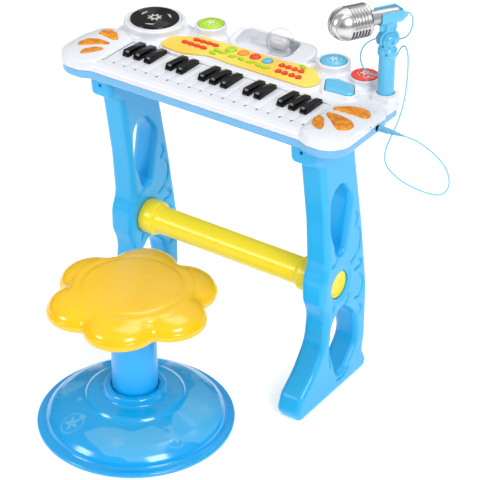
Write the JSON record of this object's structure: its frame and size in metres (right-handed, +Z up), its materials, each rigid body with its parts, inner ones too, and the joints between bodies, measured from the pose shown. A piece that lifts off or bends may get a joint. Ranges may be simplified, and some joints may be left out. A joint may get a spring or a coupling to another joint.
{
  "type": "toy electronic keyboard",
  "caption": "Toy keyboard on two moulded legs with a crossbar, drum pads, record disc, buttons, tilting microphone on a post, and a flower-topped stool.",
  "frame": {"origin": "on the floor, at the middle of the footprint of the keyboard and its stool, the cord and plug left out", "axes": "+Z up, +X along the keys towards the high notes, -Y towards the player"},
  "size_m": [0.5568, 0.445, 0.5798],
  "materials": {
    "key_white": "satin gloss moulded ABS",
    "key_black": "high gloss moulded ABS",
    "deck_white": "satin gloss moulded ABS",
    "shell_blue": "satin moulded ABS",
    "panel_yellow": "printed film on moulded ABS",
    "button_mixed": "smooth silicone, one colour each: green, orange, red and blue",
    "button_red": "smooth silicone",
    "button_green": "smooth silicone",
    "button_blue": "gloss moulded ABS",
    "pad_green": "gloss moulded ABS with a pale print",
    "pad_blue": "gloss moulded ABS with a pale print",
    "pad_red": "gloss moulded ABS with a pale print",
    "lens_orange": "translucent moulded acrylic with a bubble texture inside",
    "record_black": "gloss black with fine grooves",
    "drum_white": "satin moulded ABS",
    "leg_blue": "satin moulded polypropylene",
    "bar_yellow": "satin moulded polypropylene",
    "grip_silver": "silver paint on plastic",
    "head_chrome": "bright plated",
    "post_blue": "satin moulded ABS",
    "cord_blue": "smooth PVC",
    "plug_blue": "moulded PVC",
    "stool_blue": "gloss moulded polypropylene",
    "seat_yellow": "gloss moulded polypropylene",
    "board_green": "solder-masked board",
    "speaker_dark": "paper cone in a pressed basket",
    "dome_clear": "clear moulded acrylic"
  },
  "bodies": {
    "root": {"upper_housing": "deck_white", "lower_housing": "shell_blue", "battery_cover": "shell_blue", "control_panel": "panel_yellow", "light_lenses": "lens_orange", "light_dome": "dome_clear", "left_leg": "leg_blue", "right_leg": "leg_blue", "crossbar": "bar_yellow", "mic_post": "post_blue", "mic_cord": "cord_blue", "mic_plug": "plug_blue", "circuit_board": "board_green", "speaker": "speaker_dark"},
    "white_key_01": {"white_key_01": "key_white"},
    "white_key_02": {"white_key_02": "key_white"},
    "white_key_03": {"white_key_03": "key_white"},
    "white_key_04": {"white_key_04": "key_white"},
    "white_key_05": {"white_key_05": "key_white"},
    "white_key_06": {"white_key_06": "key_white"},
    "white_key_07": {"white_key_07": "key_white"},
    "white_key_08": {"white_key_08": "key_white"},
    "white_key_09": {"white_key_09": "key_white"},
    "white_key_10": {"white_key_10": "key_white"},
    "white_key_11": {"white_key_11": "key_white"},
    "white_key_12": {"white_key_12": "key_white"},
    "white_key_13": {"white_key_13": "key_white"},
    "white_key_14": {"white_key_14": "key_white"},
    "white_key_15": {"white_key_15": "key_white"},
    "white_key_16": {"white_key_16": "key_white"},
    "white_key_17": {"white_key_17": "key_white"},
    "white_key_18": {"white_key_18": "key_white"},
    "black_key_01": {"black_key_01": "key_black"},
    "black_key_02": {"black_key_02": "key_black"},
    "black_key_03": {"black_key_03": "key_black"},
    "black_key_04": {"black_key_04": "key_black"},
    "black_key_05": {"black_key_05": "key_black"},
    "black_key_06": {"black_key_06": "key_black"},
    "black_key_07": {"black_key_07": "key_black"},
    "black_key_08": {"black_key_08": "key_black"},
    "black_key_09": {"black_key_09": "key_black"},
    "black_key_10": {"black_key_10": "key_black"},
    "black_key_11": {"black_key_11": "key_black"},
    "black_key_12": {"black_key_12": "key_black"},
    "black_key_13": {"black_key_13": "key_black"},
    "drum_pad_green": {"drum_pad_green": "pad_green"},
    "drum_pad_blue": {"drum_pad_blue": "pad_blue"},
    "drum_pad_red": {"drum_pad_red": "pad_red"},
    "mode_buttons": {"mode_buttons": "button_mixed"},
    "keypad_red": {"keypad_red": "button_red"},
    "keypad_green": {"keypad_green": "button_green"},
    "voice_button": {"voice_button": "button_blue"},
    "turntable_disc": {"turntable_disc": "record_black"},
    "light_drum": {"light_drum": "drum_white"},
    "mic_cradle": {"mic_cradle": "post_blue"},
    "microphone": {"microphone_body": "grip_silver", "microphone_head": "head_chrome"},
    "stool": {"stool_base": "stool_blue", "stool_post": "stool_blue", "stool_seat": "seat_yellow"}
  },
  "joints": [
    {"name": "white_key_01_press", "type": "hinge", "parent": "root", "child": "white_key_01", "pos_m": [0, 0.131, 0.432], "axis": [1, 0, 0], "range_deg": [0, 2.8], "stiffness_Nm_per_rad": 0.5, "springref_deg": -3.44},
    {"name": "white_key_02_press", "type": "hinge", "parent": "root", "child": "white_key_02", "pos_m": [0, 0.131, 0.432], "axis": [1, 0, 0], "range_deg": [0, 2.8], "stiffness_Nm_per_rad": 0.5, "springref_deg": -3.44},
    {"name": "white_key_03_press", "type": "hinge", "parent": "root", "child": "white_key_03", "pos_m": [0, 0.131, 0.432], "axis": [1, 0, 0], "range_deg": [0, 2.8], "stiffness_Nm_per_rad": 0.5, "springref_deg": -3.44},
    {"name": "white_key_04_press", "type": "hinge", "parent": "root", "child": "white_key_04", "pos_m": [0, 0.131, 0.432], "axis": [1, 0, 0], "range_deg": [0, 2.8], "stiffness_Nm_per_rad": 0.5, "springref_deg": -3.44},
    {"name": "white_key_05_press", "type": "hinge", "parent": "root", "child": "white_key_05", "pos_m": [0, 0.131, 0.432], "axis": [1, 0, 0], "range_deg": [0, 2.8], "stiffness_Nm_per_rad": 0.5, "springref_deg": -3.44},
    {"name": "white_key_06_press", "type": "hinge", "parent": "root", "child": "white_key_06", "pos_m": [0, 0.131, 0.432], "axis": [1, 0, 0], "range_deg": [0, 2.8], "stiffness_Nm_per_rad": 0.5, "springref_deg": -3.44},
    {"name": "white_key_07_press", "type": "hinge", "parent": "root", "child": "white_key_07", "pos_m": [0, 0.131, 0.432], "axis": [1, 0, 0], "range_deg": [0, 2.8], "stiffness_Nm_per_rad": 0.5, "springref_deg": -3.44},
    {"name": "white_key_08_press", "type": "hinge", "parent": "root", "child": "white_key_08", "pos_m": [0, 0.131, 0.432], "axis": [1, 0, 0], "range_deg": [0, 2.8], "stiffness_Nm_per_rad": 0.5, "springref_deg": -3.44},
    {"name": "white_key_09_press", "type": "hinge", "parent": "root", "child": "white_key_09", "pos_m": [0, 0.131, 0.432], "axis": [1, 0, 0], "range_deg": [0, 2.8], "stiffness_Nm_per_rad": 0.5, "springref_deg": -3.44},
    {"name": "white_key_10_press", "type": "hinge", "parent": "root", "child": "white_key_10", "pos_m": [0, 0.131, 0.432], "axis": [1, 0, 0], "range_deg": [0, 2.8], "stiffness_Nm_per_rad": 0.5, "springref_deg": -3.44},
    {"name": "white_key_11_press", "type": "hinge", "parent": "root", "child": "white_key_11", "pos_m": [0, 0.131, 0.432], "axis": [1, 0, 0], "range_deg": [0, 2.8], "stiffness_Nm_per_rad": 0.5, "springref_deg": -3.44},
    {"name": "white_key_12_press", "type": "hinge", "parent": "root", "child": "white_key_12", "pos_m": [0, 0.131, 0.432], "axis": [1, 0, 0], "range_deg": [0, 2.8], "stiffness_Nm_per_rad": 0.5, "springref_deg": -3.44},
    {"name": "white_key_13_press", "type": "hinge", "parent": "root", "child": "white_key_13", "pos_m": [0, 0.131, 0.432], "axis": [1, 0, 0], "range_deg": [0, 2.8], "stiffness_Nm_per_rad": 0.5, "springref_deg": -3.44},
    {"name": "white_key_14_press", "type": "hinge", "parent": "root", "child": "white_key_14", "pos_m": [0, 0.131, 0.432], "axis": [1, 0, 0], "range_deg": [0, 2.8], "stiffness_Nm_per_rad": 0.5, "springref_deg": -3.44},
    {"name": "white_key_15_press", "type": "hinge", "parent": "root", "child": "white_key_15", "pos_m": [0, 0.131, 0.432], "axis": [1, 0, 0], "range_deg": [0, 2.8], "stiffness_Nm_per_rad": 0.5, "springref_deg": -3.44},
    {"name": "white_key_16_press", "type": "hinge", "parent": "root", "child": "white_key_16", "pos_m": [0, 0.131, 0.432], "axis": [1, 0, 0], "range_deg": [0, 2.8], "stiffness_Nm_per_rad": 0.5, "springref_deg": -3.44},
    {"name": "white_key_17_press", "type": "hinge", "parent": "root", "child": "white_key_17", "pos_m": [0, 0.131, 0.432], "axis": [1, 0, 0], "range_deg": [0, 2.8], "stiffness_Nm_per_rad": 0.5, "springref_deg": -3.44},
    {"name": "white_key_18_press", "type": "hinge", "parent": "root", "child": "white_key_18", "pos_m": [0, 0.131, 0.432], "axis": [1, 0, 0], "range_deg": [0, 2.8], "stiffness_Nm_per_rad": 0.5, "springref_deg": -3.44},
    {"name": "black_key_01_press", "type": "hinge", "parent": "root", "child": "black_key_01", "pos_m": [0, 0.131, 0.432], "axis": [1, 0, 0], "range_deg": [0, 2.8], "stiffness_Nm_per_rad": 0.5, "springref_deg": -3.44},
    {"name": "black_key_02_press", "type": "hinge", "parent": "root", "child": "black_key_02", "pos_m": [0, 0.131, 0.432], "axis": [1, 0, 0], "range_deg": [0, 2.8], "stiffness_Nm_per_rad": 0.5, "springref_deg": -3.44},
    {"name": "black_key_03_press", "type": "hinge", "parent": "root", "child": "black_key_03", "pos_m": [0, 0.131, 0.432], "axis": [1, 0, 0], "range_deg": [0, 2.8], "stiffness_Nm_per_rad": 0.5, "springref_deg": -3.44},
    {"name": "black_key_04_press", "type": "hinge", "parent": "root", "child": "black_key_04", "pos_m": [0, 0.131, 0.432], "axis": [1, 0, 0], "range_deg": [0, 2.8], "stiffness_Nm_per_rad": 0.5, "springref_deg": -3.44},
    {"name": "black_key_05_press", "type": "hinge", "parent": "root", "child": "black_key_05", "pos_m": [0, 0.131, 0.432], "axis": [1, 0, 0], "range_deg": [0, 2.8], "stiffness_Nm_per_rad": 0.5, "springref_deg": -3.44},
    {"name": "black_key_06_press", "type": "hinge", "parent": "root", "child": "black_key_06", "pos_m": [0, 0.131, 0.432], "axis": [1, 0, 0], "range_deg": [0, 2.8], "stiffness_Nm_per_rad": 0.5, "springref_deg": -3.44},
    {"name": "black_key_07_press", "type": "hinge", "parent": "root", "child": "black_key_07", "pos_m": [0, 0.131, 0.432], "axis": [1, 0, 0], "range_deg": [0, 2.8], "stiffness_Nm_per_rad": 0.5, "springref_deg": -3.44},
    {"name": "black_key_08_press", "type": "hinge", "parent": "root", "child": "black_key_08", "pos_m": [0, 0.131, 0.432], "axis": [1, 0, 0], "range_deg": [0, 2.8], "stiffness_Nm_per_rad": 0.5, "springref_deg": -3.44},
    {"name": "black_key_09_press", "type": "hinge", "parent": "root", "child": "black_key_09", "pos_m": [0, 0.131, 0.432], "axis": [1, 0, 0], "range_deg": [0, 2.8], "stiffness_Nm_per_rad": 0.5, "springref_deg": -3.44},
    {"name": "black_key_10_press", "type": "hinge", "parent": "root", "child": "black_key_10", "pos_m": [0, 0.131, 0.432], "axis": [1, 0, 0], "range_deg": [0, 2.8], "stiffness_Nm_per_rad": 0.5, "springref_deg": -3.44},
    {"name": "black_key_11_press", "type": "hinge", "parent": "root", "child": "black_key_11", "pos_m": [0, 0.131, 0.432], "axis": [1, 0, 0], "range_deg": [0, 2.8], "stiffness_Nm_per_rad": 0.5, "springref_deg": -3.44},
    {"name": "black_key_12_press", "type": "hinge", "parent": "root", "child": "black_key_12", "pos_m": [0, 0.131, 0.432], "axis": [1, 0, 0], "range_deg": [0, 2.8], "stiffness_Nm_per_rad": 0.5, "springref_deg": -3.44},
    {"name": "black_key_13_press", "type": "hinge", "parent": "root", "child": "black_key_13", "pos_m": [0, 0.131, 0.432], "axis": [1, 0, 0], "range_deg": [0, 2.8], "stiffness_Nm_per_rad": 0.5, "springref_deg": -3.44},
    {"name": "drum_pad_green_press", "type": "slide", "parent": "root", "child": "drum_pad_green", "axis": [0, 0, -1], "range_m": [0, 0.002], "stiffness_N_per_m": 900, "springref_m": -0.002},
    {"name": "drum_pad_blue_press", "type": "slide", "parent": "root", "child": "drum_pad_blue", "axis": [0, 0, -1], "range_m": [0, 0.002], "stiffness_N_per_m": 900, "springref_m": -0.002},
    {"name": "drum_pad_red_press", "type": "slide", "parent": "root", "child": "drum_pad_red", "axis": [0, 0, -1], "range_m": [0, 0.002], "stiffness_N_per_m": 900, "springref_m": -0.002},
    {"name": "mode_buttons_press", "type": "slide", "parent": "root", "child": "mode_buttons", "axis": [0, 0, -1], "range_m": [0, 0.0012], "stiffness_N_per_m": 900, "springref_m": -0.002},
    {"name": "keypad_red_press", "type": "slide", "parent": "root", "child": "keypad_red", "axis": [0, 0, -1], "range_m": [0, 0.0012], "stiffness_N_per_m": 900, "springref_m": -0.002},
    {"name": "keypad_green_press", "type": "slide", "parent": "root", "child": "keypad_green", "axis": [0, 0, -1], "range_m": [0, 0.0012], "stiffness_N_per_m": 900, "springref_m": -0.002},
    {"name": "voice_button_press", "type": "slide", "parent": "root", "child": "voice_button", "axis": [0, 0, -1], "range_m": [0, 0.0015], "stiffness_N_per_m": 900, "springref_m": -0.002},
    {"name": "turntable_spin", "type": "hinge", "parent": "root", "child": "turntable_disc", "pos_m": [-0.157, 0.162, 0.4533], "axis": [0, 0, 1], "continuous": true},
    {"name": "light_drum_spin", "type": "hinge", "parent": "root", "child": "light_drum", "pos_m": [0.022, 0.1992, 0.452], "axis": [1, 0, 0], "continuous": true},
    {"name": "mic_tilt", "type": "hinge", "parent": "root", "child": "mic_cradle", "pos_m": [0.207, 0.163, 0.525], "axis": [0.866, -0.5, 0], "range_deg": [-30, 35], "deforming": ["mic_cord"]},
    {"name": "mic_lift", "type": "slide", "parent": "mic_cradle", "child": "microphone", "axis": [0, 0, 1], "range_m": [0, 0.03]},
    {"name": "stool_place", "type": "slide", "parent": "root", "child": "stool", "axis": [0, 1, 0], "range_m": [-0.15, 0.05]}
  ]
}
